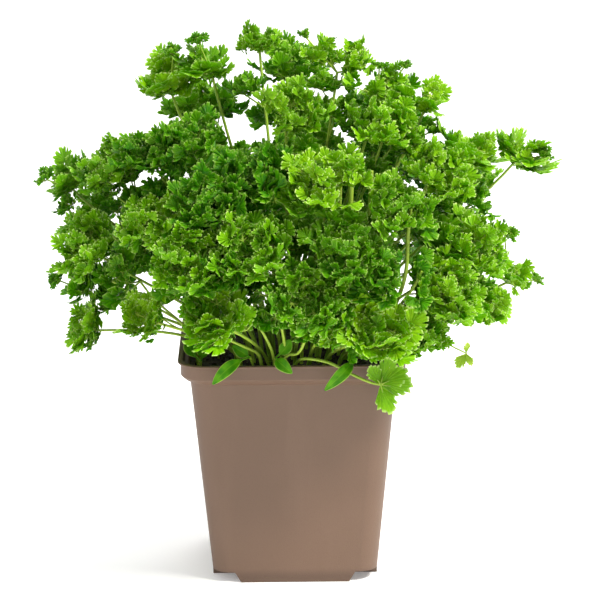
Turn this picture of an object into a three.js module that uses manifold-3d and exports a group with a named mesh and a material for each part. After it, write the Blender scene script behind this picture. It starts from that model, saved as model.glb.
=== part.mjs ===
// Curly parsley growing in a square plastic pot. Millimetres, +Z up, the front of the pot faces -Y.
// The origin is the centre of the pot's foot, on the surface that the pot stands on.
// The pot, its soil and every leaf with its stalk are separate solids. Each stalk stands in a plain
// hole in the soil, and each leaf keeps to the room between its neighbours, so no two solids touch.
import * as THREE from "three";
import { mergeVertices } from "three/addons/utils/BufferGeometryUtils.js";
import Module from "manifold-3d";

const wasm = await Module();
wasm.setup();

const GAP = 0.35; // clear distance between neighbouring solids
const PAST = 5; // how far a cut goes on beyond the surface that it cuts
const MERGED = 1e-3; // corners closer than this are one
const TURN = 2 * Math.PI;
const SEEDS = { soil: 3, shoots: 90 }; // a frond's seed is its number

// The pot is a 13 cm square with round corners. "half" is half its width, "corner" its corner radius.
const POT = { height: 134, wall: 1.3, cornerSteps: 4 };
const BASE = { half: 47.3, corner: 11, z: 6 }; // the raised corners of the base
const BODY_TOP = { half: 58.2, corner: 12.5, z: 121.2 };
const SHOULDER = { half: 60.8, corner: 14, z: 122.6 }; // where the body turns out to the band
const BAND = { half: 63.4, corner: 14, low: 125.5, high: 132.4 };
const LIP = { half: 65, corner: 15, low: 132.8, edge: 0.4 };
// The foot is a cross with four arms.
const FOOT = { reach: 46.6, halfWidth: 31, halfWidthAtBase: 34.5, buried: 0.9 };
const DRAIN = { radius: 3.6, offset: 39, sides: 8 };

// The soil's level lies 11 mm below the rim and rises and falls a little. "rings" are shares of its width.
const SOIL = { level: 123, half: 57.8, corner: 11.8, rings: [0.82, 0.59, 0.36, 0.15], roughness: 1.1 };
const HOLE = { depth: 9, clearance: 0.5, standing: 1.5 };

// Stalks: their radii, and the knot that the leaflets grow from.
const STALK = { sides: 4, bends: 5, foot: 1.45, tip: 0.9, knot: 1.6, past: 0.9 };
const CROWN = { radius: 47, spread: 0.75, apart: 8.5, nudge: 0.01, rounds: 60 }; // where they leave the soil
// A stalk's arc, as shares of its travel: how far it rises and leans at first, and its reach to the fork.
const ARC = { rise: 0.42, leastRise: 17, lean: 0.12, reach: 0.3, highSway: 0.5 };
// How stalks keep clear of each other. "marks" are the points on each bend where the room is measured.
const ROUTE = { apart: 4.4, swayStep: 3, tries: 25, marks: 8, plenty: 50 };
const RIM = { inside: 56, outside: 72, clearance: 3.2 }; // stalks pass above the rim between these two
const HEART = { z: 140, lift: 0.45 }; // the point that the heads face away from, and how far they turn up

// Blades are palmate: five lobes round the end of a short stalklet, cut in between and waved at the rim.
const BLADE = { thickness: 1.5, cup: 0.2, wave: 0.1, notch: 0.6, smallest: 0.3, shorter: 0.8 };
const CLEAR = { above: 2.6, beyond: 2, behind: 0.4 }; // the room that a blade leaves round a stalk
const LOBES = [
  { angle: -104, reach: 0.66, tips: [0] },
  { angle: -54, reach: 0.9, tips: [-12, 12] },
  { angle: 0, reach: 1, tips: [-12, 12] },
  { angle: 54, reach: 0.9, tips: [-12, 12] },
  { angle: 104, reach: 0.66, tips: [0] },
];
const NECK = { angle: 142, reach: 0.2 };
// A head is a rosette in two tiers. "rise" is how steeply its leaflets leave the fork, in degrees.
const ROSETTE = { fork: 0.5, stray: 0.25, slit: 0.12, roll: 12, margin: 14 };
const VARIES = { rise: 0.15, length: 0.08 }; // how much leaflets differ
const OUTER = { rise: 26, neck: 0.36, length: 0.74, count: 4 };
const INNER = { rise: 64, neck: 0.46, length: 0.6, count: 2, countIfSmall: 1 };
const FLAT = { rise: 8, neck: 0.25, length: 0.8 };

// Every frond: the middle of its head x, y, z, and the head's radius.
const HEADS = [
  // the top of the bush
  [-71, -4, 289, 23], [-46, -14, 300, 22], [-18, 2, 309, 18], [28, 16, 297, 25], [-3, -54, 280, 27],
  [52, -4, 284, 23], [79, -6, 276, 20], [54, -42, 268, 25], [-56, -46, 265, 24], [-22, -76, 251, 25],
  // the right side
  [133, 0, 243, 21], [102, -16, 249, 22], [83, -55, 247, 26], [105, -48, 202, 27], [131, -12, 173, 19],
  [114, -40, 164, 20], [88, -84, 184, 25],
  // the front
  [58, -88, 233, 25], [22, -96, 250, 27], [-48, -84, 236, 25], [-22, -110, 216, 25], [30, -106, 214, 25],
  [60, -102, 200, 23], [8, -114, 189, 24], [-58, -102, 208, 26], [-44, -104, 177, 24], [50, -104, 165, 24],
  [20, -104, 171, 21],
  // the left side
  [-131, 0, 229, 20], [-104, -21, 243, 25], [-82, -42, 257, 22], [-80, -66, 222, 24], [-117, -32, 199, 26],
  [-127, -4, 168, 20], [-122, -20, 147, 18], [-84, -68, 166, 18],
  // the back
  [0, 52, 286, 28], [-54, 46, 266, 27], [58, 50, 262, 28], [-122, 22, 206, 24], [102, 40, 220, 27],
  [-58, 88, 230, 28], [2, 98, 242, 29], [62, 90, 226, 28], [-30, 112, 190, 28], [36, 112, 188, 28],
  [-90, 74, 180, 28], [94, 70, 178, 28],
  // low in front on the right
  [73, -86, 160, 19],
];
const SMALL_HEAD = 24; // heads up to this radius have fewer leaflets

// Low shoots that lie over the rim: the points of the stalk from the soil out, and the leaf at its end.
const SHOOTS = {
  hanging_leaf: {
    route: [
      [0, -49, 123], [2, -55, 133], [7, -62, 137.5], [20, -67, 136.5], [34, -70.5, 132], [47, -74, 127.5],
      [53, -76, 127],
    ],
    thick: 0.95,
    normal: [0.15, -1, 0.1],
    radius: 15,
    leaflets: 4,
  },
  trailing_shoot: {
    route: [
      [53, -14, 123], [56, -15, 132], [64, -16.5, 137.5], [82, -20, 136], [93, -21, 131], [99, -21, 128],
    ],
    thick: 0.55,
    normal: [0.3, -0.9, 0.3],
    radius: 5.5,
    leaflets: 3,
  },
};
const SHOOT = { bends: 7, taper: 0.8, knot: 1.3 };
// A seedling is a thin stalk with narrow, smooth-edged seed leaves, each given by its middle and its tip.
const SEEDLINGS = [
  {
    foot: [-20, -53],
    fork: [-24, -58, 137.5],
    leaves: [[[-32, -66.8, 137.5], [-45, -71, 125.5]], [[-26, -56, 138], [-34, -53, 143]]],
  },
  {
    foot: [-6, -54],
    fork: [-10, -59.5, 137.5],
    leaves: [[[-9, -66.5, 138], [-0.5, -69, 131]], [[-6, -58, 140], [-1, -56, 147]]],
  },
  {
    foot: [33, -53],
    fork: [34, -59, 137.5],
    leaves: [[[31, -67, 137.5], [17.5, -71, 121.5]], [[38, -57, 139], [48, -56, 143]]],
  },
  {
    foot: [-53, -40],
    fork: [-52, -43.5, 131],
    leaves: [[[-51, -45, 135], [-50, -46, 145]], [[-57, -38, 134], [-60, -27, 139]]],
  },
];
const SEEDLING = { stalk: 0.75, bends: 2, knot: 1.4, halfWidth: 3.4, thickness: 1.2, widest: 0.35 };
const SEED_LEAF_FACES = [0, -1, 0.45];
// The rim of a seed leaf, as angles and how far along the leaf each point is.
const LANCE = [
  [-150, 0.14], [-75, 0.2], [-26, 0.45], [-10, 0.78], [0, 1], [10, 0.78], [26, 0.45], [75, 0.2], [150, 0.14],
];

const LOOKS = {
  pot: { color: 0x8f7565, roughness: 0.5 },
  soil: { color: 0x2b221b, roughness: 0.95 },
  leaf: { color: 0x3f8a1c, roughness: 0.55 },
  seedLeaf: { color: 0x55992a, roughness: 0.5 },
};

const vec = (x, y, z) => new THREE.Vector3(x, y, z);
const UP = vec(0, 0, 1);
const ASIDE = vec(0.31, 0.95, 0); // a way that no head faces
const radians = (degrees) => (degrees * Math.PI) / 180;

// A repeatable stream of numbers from 0 to 1.
function draws(seed) {
  let state = seed * 7919 + 11;
  return () => {
    state = (state * 48271) % 2147483647;
    return state / 2147483647;
  };
}

// A factor near 1 that differs from it by up to the spread.
const aboutOne = (draw, spread) => 1 + spread * (2 * draw() - 1);

// A solid from corner points and the corners of each face, counter-clockwise seen from outside.
function solidOf(points, faces) {
  const vertProperties = new Float32Array(points.flatMap((p) => [p.x, p.y, p.z]));
  return new wasm.Manifold(
    new wasm.Mesh({ numProp: 3, vertProperties, triVerts: new Uint32Array(faces.flat()) }),
  );
}

// Rings of equally many points, joined one to the next and closed at both ends.
function loft(rings) {
  const count = rings[0].length;
  const points = rings.flat();
  const faces = [];
  for (let r = 0; r + 1 < rings.length; r += 1) {
    for (let k = 0; k < count; k += 1) {
      const a = r * count + k;
      const b = r * count + ((k + 1) % count);
      faces.push([a, b, b + count], [a, b + count, a + count]);
    }
  }
  const last = (rings.length - 1) * count;
  points.push(centreOf(rings[0]), centreOf(rings[rings.length - 1]));
  for (let k = 0; k < count; k += 1) {
    const next = (k + 1) % count;
    faces.push([points.length - 2, next, k], [points.length - 1, last + k, last + next]);
  }
  return solidOf(points, faces);
}

function centreOf(ring) {
  return ring.reduce((sum, p) => sum.add(p), vec(0, 0, 0)).divideScalar(ring.length);
}

// The outline of a square with round corners, counter-clockwise seen from above.
function roundSquare(half, corner, z) {
  const ring = [];
  for (let quarter = 0; quarter < 4; quarter += 1) {
    const middle = ((quarter + 0.5) * TURN) / 4;
    const centre = vec(Math.sign(Math.cos(middle)), Math.sign(Math.sin(middle)), 0);
    centre.multiplyScalar(half - corner).setZ(z);
    for (let step = 0; step <= POT.cornerSteps; step += 1) {
      const angle = ((quarter + step / POT.cornerSteps) * TURN) / 4;
      ring.push(vec(Math.cos(angle), Math.sin(angle), 0).multiplyScalar(corner).add(centre));
    }
  }
  return ring;
}

function rectangle(halfX, halfY, z) {
  return [vec(halfX, -halfY, z), vec(halfX, halfY, z), vec(-halfX, halfY, z), vec(-halfX, -halfY, z)];
}

// A regular prism, as wide all the way up.
function prism(x, y, low, high, radius, sides) {
  const ringAt = (z) =>
    Array.from({ length: sides }, (_, k) => {
      const angle = (k * TURN) / sides;
      return vec(x + radius * Math.cos(angle), y + radius * Math.sin(angle), z);
    });
  return loft([ringAt(low), ringAt(high)]);
}

const insetRing = (at, inset, z) => roundSquare(at.half - inset, at.corner - inset / 2, z);

// The straight sides of the pot, or with an inset the surface that lies that far inside them.
function potSides(inset) {
  return [insetRing(BASE, inset, BASE.z + inset), insetRing(BODY_TOP, inset, BODY_TOP.z - inset / 2)];
}

// The pot's outer surface, or with an inset the surface that lies that far inside it.
function potBody(inset, top) {
  const above = [
    [SHOULDER, SHOULDER.z - inset / 2],
    [BAND, BAND.low - inset / 2],
    ...top,
  ];
  return potSides(inset).concat(above.map(([at, z]) => insetRing(at, inset, z)));
}

// The two crossed bars of the foot, or with an inset the hollow inside them.
function footCross(inset) {
  const top = BASE.z + FOOT.buried + inset;
  const bar = [
    [FOOT.reach - inset, FOOT.halfWidth - inset, inset],
    [FOOT.reach - inset, FOOT.halfWidthAtBase - inset, top],
  ];
  const along = loft(bar.map(([a, b, z]) => rectangle(a, b, z)));
  return along.add(loft(bar.map(([a, b, z]) => rectangle(b, a, z))));
}

function pot() {
  const outerTop = [
    [BAND, BAND.high],
    [LIP, LIP.low],
    [LIP, POT.height - LIP.edge],
    [{ half: LIP.half - LIP.edge, corner: LIP.corner }, POT.height],
  ];
  const outer = loft(potBody(0, outerTop)).add(footCross(0));
  const inner = loft(potBody(POT.wall, [[BAND, POT.height + PAST]])).add(footCross(POT.wall));
  let shell = outer.subtract(inner);
  for (const [x, y] of [[1, 1], [-1, 1], [-1, -1], [1, -1]]) {
    const { radius, offset, sides } = DRAIN;
    shell = shell.subtract(prism(x * offset, y * offset, 0, BASE.z + PAST, radius, sides));
  }
  return shell;
}

// The soil fills the pot. Its top is a net of rings, each point a little up or down.
function soil(holes) {
  const inset = POT.wall + GAP;
  const draw = draws(SEEDS.soil);
  const edge = roundSquare(SOIL.half, SOIL.corner, SOIL.level - SOIL.roughness);
  const rough = (p, share) => vec(p.x * share, p.y * share, SOIL.level + SOIL.roughness * (2 * draw() - 1));
  const net = SOIL.rings.map((share) => edge.map((p) => rough(p, share)));
  let mass = loft([...potSides(inset), edge, ...net]).add(footCross(inset));
  holes.forEach((hole) => {
    mass = mass.subtract(hole);
  });
  return mass;
}

// The direction that a head faces: away from the heart of the bush and turned up.
function facing(head) {
  const out = head.centre.clone().sub(vec(0, 0, HEART.z)).normalize();
  return out.add(UP.clone().multiplyScalar(HEART.lift)).normalize();
}

// Stalks of low heads come out of the soil near the rim, those of high heads near the middle.
function plantFeet(heads) {
  heads.forEach((head) => {
    const flat = Math.hypot(head.centre.x, head.centre.y);
    const steep = Math.atan2(head.centre.z - SOIL.level, flat) / (TURN / 4);
    const away = CROWN.radius * Math.pow(1 - steep, CROWN.spread);
    head.root = vec(head.centre.x, head.centre.y, 0).multiplyScalar(away / Math.max(flat, 1));
  });
  for (let round = 0; round < CROWN.rounds; round += 1) {
    heads.forEach((a, i) => heads.slice(i + 1).forEach((b) => pushApart(a.root, b.root)));
    heads.forEach((head) => keepInside(head.root));
  }
  heads.forEach((head) => head.root.setZ(SOIL.level));
}

function pushApart(a, b) {
  const push = b.clone().sub(a);
  const short = CROWN.apart - push.length();
  if (short > 0) {
    push.setLength(short / 2 + CROWN.nudge);
    a.sub(push);
    b.add(push);
  }
}

function keepInside(root) {
  const limit = CROWN.radius;
  root.set(Math.max(-limit, Math.min(limit, root.x)), Math.max(-limit, Math.min(limit, root.y)), 0);
}

// The stalk's bends: straight up out of its hole, then in one arc to the fork under the head.
function stalkBends(head, sway) {
  const start = head.root.clone().setZ(SOIL.level + HOLE.standing);
  const travel = head.fork.clone().sub(start);
  const across = vec(-travel.y, travel.x, 0).normalize();
  const rise = Math.max(travel.z * ARC.rise, ARC.leastRise);
  const low = start.clone().add(vec(travel.x * ARC.lean, travel.y * ARC.lean, rise));
  low.addScaledVector(across, sway);
  const high = head.fork.clone().addScaledVector(head.normal, -ARC.reach * travel.length());
  high.addScaledVector(across, sway * ARC.highSway).setZ(Math.max(high.z, (low.z + head.fork.z) / 2));
  const foot = head.root.clone().setZ(SOIL.level - HOLE.depth + GAP);
  return [foot, ...new THREE.CubicBezierCurve3(start, low, high, head.fork).getPoints(STALK.bends)];
}

function along(bends, perBend) {
  const marks = [];
  bends.slice(1).forEach((end, i) => {
    for (let k = 0; k < perBend; k += 1) {
      marks.push(bends[i].clone().lerp(end, k / perBend));
    }
  });
  return marks.concat([bends[bends.length - 1].clone()]);
}

const nearest = (marks, others) =>
  Math.min(...marks.map((p) => Math.min(...others.map((q) => p.distanceTo(q)))));

const roomOf = (marks, taken) => Math.min(ROUTE.plenty, ...taken.map((other) => nearest(marks, other)));

function clearsRim(marks) {
  const reach = (p) => Math.max(Math.abs(p.x), Math.abs(p.y));
  const isOver = (p) => p.z > POT.height + RIM.clearance;
  return marks.every((p) => reach(p) < RIM.inside || reach(p) > RIM.outside || isOver(p));
}

// Each stalk sways to one side, more and more, until it is clear of the stalks before it.
function routeStalks(heads) {
  const taken = [];
  heads.forEach((head) => {
    let best = { room: -1 };
    for (let turn = 0; turn < ROUTE.tries && best.room < ROUTE.apart; turn += 1) {
      const sway = ROUTE.swayStep * Math.ceil(turn / 2) * (turn % 2 ? 1 : -1);
      const bends = stalkBends(head, sway);
      const marks = along(bends, ROUTE.marks);
      const room = clearsRim(marks) ? roomOf(marks, taken) : 0;
      if (room > best.room) {
        best = { bends, marks, room };
      }
    }
    head.bends = best.bends;
    head.marks = best.marks;
    taken.push(best.marks);
  });
}

// A tube through its bends, with a radius at each, closed at both ends.
function tube(bends, radii, sides) {
  const ends = [bends[0], bends[bends.length - 1]];
  const level = ends[1].clone().sub(ends[0]).cross(UP).normalize();
  const rings = bends.map((bend, i) => {
    const before = bends[Math.max(i - 1, 0)];
    const after = bends[Math.min(i + 1, bends.length - 1)];
    const ahead = after.clone().sub(before).normalize();
    const side = level.clone().addScaledVector(ahead, -level.dot(ahead)).normalize();
    const front = ahead.clone().cross(side);
    return Array.from({ length: sides }, (_, k) => {
      const angle = (k * TURN) / sides;
      const spoke = side.clone().multiplyScalar(Math.cos(angle)).addScaledVector(front, Math.sin(angle));
      return bend.clone().addScaledVector(spoke, radii[i]);
    });
  });
  return loft(rings);
}

// The rim of a palmate blade as angle, reach and lift: the tips of each lobe, a notch between lobes.
function bladeOutline() {
  const rim = [[-NECK.angle, NECK.reach, 0]];
  LOBES.forEach((lobe, i) => {
    if (i) {
      const before = LOBES[i - 1];
      const reach = (BLADE.notch * (lobe.reach + before.reach)) / 2;
      rim.push([(lobe.angle + before.angle) / 2, reach, -1]);
    }
    lobe.tips.forEach((aside, k) => rim.push([lobe.angle + aside, lobe.reach, 0.5 + 0.5 * k]));
  });
  rim.push([NECK.angle, NECK.reach, 0]);
  return rim;
}

// Where a blade's rim lies. "at" is the end of its stalklet, "ahead" points along its middle lobe.
function bladeRim(blade) {
  const side = blade.normal.clone().cross(blade.ahead);
  return bladeOutline().map(([angle, reach, lift]) => {
    const far = reach * blade.length;
    const height = blade.length * (BLADE.wave * lift - BLADE.cup * reach * reach);
    return blade.at
      .clone()
      .addScaledVector(blade.ahead, far * Math.cos(radians(angle)))
      .addScaledVector(side, far * Math.sin(radians(angle)))
      .addScaledVector(blade.normal, height);
  });
}

// A blade is a thin lens: both faces fan out from its middle to the same rim, which narrows back to
// the fork that it grows from.
function bladeSolid(blade, rim, thickness) {
  const half = blade.normal.clone().multiplyScalar(thickness / 2);
  const points = [...rim, blade.from, blade.at.clone().add(half), blade.at.clone().sub(half)];
  const count = rim.length + 1;
  const faces = [];
  for (let k = 0; k < count; k += 1) {
    const next = (k + 1) % count;
    faces.push([count, k, next], [count + 1, next, k]);
  }
  return solidOf(points, faces);
}

function tiersOf(head) {
  const inner = head.radius <= SMALL_HEAD ? INNER.countIfSmall : INNER.count;
  return [
    [OUTER, OUTER.count],
    [INNER, inner],
  ];
}

// The unit vector at an angle between two others.
const between = (one, other, angle) =>
  one.clone().multiplyScalar(Math.cos(angle)).addScaledVector(other, Math.sin(angle));

// The leaflets of a head, each in its own sector round the head's axis.
function rosette(head, tiers, draw) {
  const across = head.normal.clone().cross(ASIDE).normalize();
  const other = head.normal.clone().cross(across);
  const first = draw() * TURN;
  return tiers.flatMap(([tier, count]) => {
    const step = TURN / count;
    return Array.from({ length: count }, (_, k) => {
      const sector = first + (k + 0.5) * step;
      const out = between(across, other, sector + ROSETTE.stray * step * (draw() - 0.5));
      const sides = count > 1 ? [step / 2 + TURN / 4, -step / 2 - TURN / 4] : [];
      const limits = sides.map((turn) => {
        return limitAt(head.centre, between(across, other, sector + turn), -ROSETTE.slit);
      });
      return { limits, ...leafletOf(head, tier, out, draw) };
    });
  });
}

function leafletOf(head, tier, out, draw) {
  const rise = radians(tier.rise * aboutOne(draw, VARIES.rise));
  const ahead = between(out, head.normal, rise);
  const normal = between(head.normal, out, -rise);
  return {
    from: head.fork,
    at: head.fork.clone().addScaledVector(ahead, tier.neck * head.radius),
    ahead,
    normal: normal.applyAxisAngle(ahead, radians(ROSETTE.roll)),
    length: tier.length * head.radius * aboutOne(draw, VARIES.length),
  };
}

// A flat limit that solids stay behind: the way that it faces, and how far along that way it lies.
function limitAt(point, towards, further) {
  return { towards, far: point.dot(towards) + further };
}

// The limits between a head and its neighbours.
function limitsOf(head, heads) {
  const near = heads.filter((other) => {
    const reach = head.radius + other.radius + ROSETTE.margin;
    return other !== head && other.centre.distanceTo(head.centre) < reach;
  });
  return near.map((other) => {
    const towards = other.centre.clone().sub(head.centre);
    const share = head.radius / (head.radius + other.radius);
    const further = towards.length() * share - GAP;
    return limitAt(head.centre, towards.normalize(), further);
  });
}

// Draws a rim point back towards the blade's middle until it is inside every limit.
function heldBack(point, middle, limits) {
  let share = 1;
  limits.forEach(({ towards, far }) => {
    const there = point.dot(towards);
    if (there > far) {
      const here = middle.dot(towards);
      share = Math.min(share, (far - here) / (there - here));
    }
  });
  return middle.clone().lerp(point, share);
}

const roomFor = (blade, limits) =>
  limits.every(({ towards, far }) => blade.at.dot(towards) < far - BLADE.thickness);

// Whether a stalk passes through the blade or close by it.
function isCrossed(blade, marks) {
  const side = blade.normal.clone().cross(blade.ahead);
  return marks.some((mark) => {
    const d = mark.clone().sub(blade.at);
    const x = d.dot(blade.ahead);
    const flat = Math.hypot(x, d.dot(side));
    const height = Math.abs(d.dot(blade.normal) + (BLADE.cup * flat * flat) / blade.length);
    const isBeside = flat < blade.length + CLEAR.beyond && x > -CLEAR.behind * blade.length;
    return isBeside && height < CLEAR.above + BLADE.wave * flat;
  });
}

// Blades that would touch another frond's stalk are made shorter, or left out if that doesn't help.
function fittedBlades(head, heads, draw) {
  const limits = limitsOf(head, heads);
  const stalks = heads.filter((other) => other !== head).map((other) => other.marks);
  const least = BLADE.smallest * head.radius;
  const fitted = [];
  rosette(head, tiersOf(head), draw).forEach((blade) => {
    while (blade.length > least && stalks.some((marks) => isCrossed(blade, marks))) {
      blade.length *= BLADE.shorter;
    }
    if (blade.length > least && roomFor(blade, limits)) {
      fitted.push(blade);
    }
  });
  return fitted.map((blade) => fittedSolid(blade, limits));
}

function fittedSolid(blade, limits) {
  const all = limits.concat(blade.limits);
  const rim = bladeRim(blade).map((point) => heldBack(point, blade.at, all));
  return bladeSolid(blade, rim, BLADE.thickness);
}

// The geometry of a solid, with corners that all but meet made one.
function geometryOf(solid) {
  const { vertProperties, triVerts } = solid.getMesh();
  const geometry = new THREE.BufferGeometry();
  geometry.setAttribute("position", new THREE.BufferAttribute(new Float32Array(vertProperties), 3));
  geometry.setIndex(new THREE.BufferAttribute(new Uint32Array(triVerts), 1));
  return mergeVertices(geometry, MERGED);
}

// The largest body of a solid, without sealed hollows and any scrap that a cut leaves loose.
function oneBody(solid) {
  const { index, attributes } = geometryOf(solid);
  const triVerts = new Uint32Array(index.array);
  const merged = new wasm.Manifold(
    new wasm.Mesh({ numProp: 3, vertProperties: attributes.position.array, triVerts }),
  );
  return merged.decompose().reduce((best, body) => (body.volume() > best.volume() ? body : best));
}

// A stalk that gets thinner towards the fork, where it ends in a small knot.
function stalkSolid(head, foot, tip, knot) {
  const last = head.bends.length - 1;
  const radii = head.bends.map((_, i) => (i < last ? foot + ((tip - foot) * i) / last : knot));
  const end = head.fork.clone().addScaledVector(head.normal, STALK.past);
  return tube([...head.bends, end], [...radii, knot], STALK.sides);
}

const joined = (stalk, blades) => oneBody(blades.reduce((whole, blade) => whole.add(blade), stalk));

function frond(head, heads, index) {
  const stalk = stalkSolid(head, STALK.foot, STALK.tip, STALK.knot);
  return joined(stalk, fittedBlades(head, heads, draws(index + 1)));
}

// The stalk of a low shoot: straight up out of its hole, then through the points of its route.
function routeBends([start, ...rest], bends) {
  const foot = start.clone().setZ(SOIL.level - HOLE.depth + GAP);
  const above = start.clone().setZ(SOIL.level + HOLE.standing);
  return [foot, ...new THREE.CatmullRomCurve3([above, ...rest]).getPoints(bends)];
}

function lowShoot({ route, thick, normal, radius, leaflets }, index) {
  const points = route.map((p) => vec(...p));
  const head = { bends: routeBends(points, SHOOT.bends), fork: points[points.length - 1], radius };
  head.centre = head.fork;
  head.normal = vec(...normal).normalize();
  const blades = rosette(head, [[FLAT, leaflets]], draws(SEEDS.shoots + index));
  const stalk = stalkSolid(head, thick, thick * SHOOT.taper, thick * SHOOT.knot);
  return joined(stalk, blades.map((blade) => fittedSolid(blade, [])));
}

// A narrow seed leaf with a smooth edge.
function seedLeaf(fork, [middle, tip]) {
  const at = vec(...middle);
  const ahead = vec(...tip).sub(at);
  const length = ahead.length();
  ahead.normalize();
  const side = ahead.clone().cross(vec(...SEED_LEAF_FACES)).normalize();
  const normal = side.clone().cross(ahead);
  const { halfWidth, thickness, widest } = SEEDLING;
  const rim = LANCE.map(([angle, share]) => {
    const far = share * length * Math.cos(radians(angle));
    const narrowing = Math.abs(share - widest) / (1 - widest);
    const aside = -Math.sign(angle) * halfWidth * Math.sqrt(1 - narrowing);
    return at.clone().addScaledVector(ahead, far).addScaledVector(side, aside);
  });
  return bladeSolid({ from: fork, at, normal }, rim, thickness);
}

function seedling({ foot, fork, leaves }) {
  const start = vec(...foot, SOIL.level);
  const head = { fork: vec(...fork), normal: UP };
  head.bends = routeBends([start, head.fork], SEEDLING.bends);
  const blades = leaves.map((leaf) => seedLeaf(head.fork, leaf));
  const { stalk, knot } = SEEDLING;
  return joined(stalkSolid(head, stalk, stalk, stalk * knot), blades);
}

// A plain hole in the soil for the foot of a stalk.
function holeFor({ x, y }, thickness) {
  const radius = (thickness + HOLE.clearance) / Math.cos(TURN / 2 / STALK.sides);
  return prism(x, y, SOIL.level - HOLE.depth, SOIL.level + PAST, radius, STALK.sides);
}

function placeHeads() {
  const heads = HEADS.map(([x, y, z, radius]) => ({ centre: vec(x, y, z), radius }));
  heads.forEach((head) => {
    head.normal = facing(head);
    head.fork = head.centre.clone().addScaledVector(head.normal, -ROSETTE.fork * head.radius);
  });
  plantFeet(heads);
  routeStalks(heads);
  return heads;
}

// A node's mesh with flat faces.
function meshOf(name, solid, look) {
  const material = new THREE.MeshStandardMaterial({ ...look, metalness: 0, flatShading: true });
  const mesh = new THREE.Mesh(geometryOf(solid), material);
  mesh.name = name;
  return mesh;
}

const parsley = new THREE.Group();
parsley.name = "potted_parsley";
const heads = placeHeads();
const shoots = Object.entries(SHOOTS);
const holes = [
  ...heads.map(({ root }) => holeFor(root, STALK.foot)),
  ...shoots.map(([, { route, thick }]) => holeFor(vec(...route[0]), thick)),
  ...SEEDLINGS.map(({ foot }) => holeFor(vec(...foot, 0), SEEDLING.stalk)),
];
parsley.add(meshOf("pot", pot(), LOOKS.pot));
parsley.add(meshOf("soil", soil(holes), LOOKS.soil));
heads.forEach((head, index) => {
  const name = "frond_" + String(index + 1).padStart(2, "0");
  parsley.add(meshOf(name, frond(head, heads, index), LOOKS.leaf));
});
shoots.forEach(([name, shoot], index) => {
  parsley.add(meshOf(name, lowShoot(shoot, index), LOOKS.leaf));
});
SEEDLINGS.forEach((plan, index) => {
  parsley.add(meshOf("seedling_" + (index + 1), seedling(plan), LOOKS.seedLeaf));
});

export default parsley;
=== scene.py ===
# The looks of curly parsley in a square plastic pot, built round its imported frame.
# Metres, +Z up, the front of the pot faces -Y. Sizes below are in millimetres, and MM makes them metres.
import math

import bmesh
import bpy
import numpy as np
from mathutils import Matrix, Vector


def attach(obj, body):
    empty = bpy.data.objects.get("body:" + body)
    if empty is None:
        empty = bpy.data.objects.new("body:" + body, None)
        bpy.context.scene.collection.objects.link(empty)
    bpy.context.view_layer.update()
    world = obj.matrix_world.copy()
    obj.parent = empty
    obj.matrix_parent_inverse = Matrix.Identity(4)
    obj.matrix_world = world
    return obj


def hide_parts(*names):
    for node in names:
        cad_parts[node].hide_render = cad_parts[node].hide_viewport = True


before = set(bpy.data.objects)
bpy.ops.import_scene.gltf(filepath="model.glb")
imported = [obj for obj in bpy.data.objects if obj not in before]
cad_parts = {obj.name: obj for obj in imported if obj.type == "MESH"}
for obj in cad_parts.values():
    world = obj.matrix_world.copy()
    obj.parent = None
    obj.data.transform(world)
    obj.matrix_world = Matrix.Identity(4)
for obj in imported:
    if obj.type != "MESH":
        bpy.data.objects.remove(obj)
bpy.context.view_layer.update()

MM = 0.001
TURN = 2 * math.pi
NEAR = 0.1  # how near to a place a corner or a face is looked for
UNDER = 0.001  # keeps a draw under a whole number
ROOT = "root"
SEEDS = {"crumbs": 41, "frills": 77, "branch": 100, "leaflets": 500, "tones": 900, "shoots": 950}

# The camera stands where the photograph was taken from: its place, how far it looks down and rolls, its lens.
CAMERA = {"at": (4.2, -1850, 651.2), "down": 15.02, "roll": -0.516, "lens": 199.8, "sensor": 36, "sight": 30}
# Round lamps, in metres: a warm key light on the right, a fill on the left and one from behind.
LAMPS = [
    {"at": (1.2, -0.8, 1.8), "width": 0.5, "power": 68, "colour": (1, 0.98, 0.92)},
    {"at": (-1.4, -1.2, 0.9), "width": 1.2, "power": 8, "colour": (1, 1, 1)},
    {"at": (0.3, 1.3, 1.6), "width": 1.0, "power": 18, "colour": (1, 1, 1)},
]
# The point that the lamps are turned to, the strength of the white sky and the floor's width, in metres.
STAGE = {"lit": (0, 0, 0.18), "sky": 0.74, "floor": 12}

# The pot's outline from the base up: half its width and its height at each step. "corner" is a radius.
POT = {"corner": 11, "corner_steps": 8, "edge": 0.5, "edge_steps": 2, "edge_angle": 38, "smooth": 35}
OUTSIDE = [
    (47.3, 6), (58.2, 121.2), (60.9, 122.7), (63.4, 125.5), (63.4, 132.4), (65, 132.9), (65, 133.6),
    (64.6, 134),
]
INSIDE = [(62.1, 133.8), (62.1, 125.2), (59.4, 122), (56.9, 120.6), (46, 7.3)]
BASE = OUTSIDE[0][1]
FOOT = {"half_width": 31, "half_width_at_base": 34.5}
DRAIN = {"radius": 3.6, "offset": 39, "sides": 20, "depth": 8}

SOIL = {"level": 123, "half": 59, "corner": 11, "corner_steps": 6, "side_cuts": 17, "rings": 12, "cuts": 2}
SOIL_SIDE = [(56.4, 120.4), (45.6, 7.7)]  # the soil's side under its top: half its width and its height
SOIL_LUMPS = [(22, 3.2), (5, 2.6), (1.6, 1.4)]  # the size and the height of its lumps, from coarse to fine
CRUMBS = {"count": 420, "from_rim": 3, "level": (-0.4, 1.2), "sizes": ((0.6, 1.7), (0.5, 1.4), (0.5, 1.2))}
# A crumb is a ball a millimetre in radius, whose one side is drawn out and whose underside is flatter.
CRUMB = {"side": 0.2, "drawn_out": (0.35, 0.1, -0.2), "underside": -0.3, "flatter": (1.2, 0.8, 0.6)}
HOLE = {"depth": 9, "standing": 1.5, "gap": 0.35}

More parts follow.
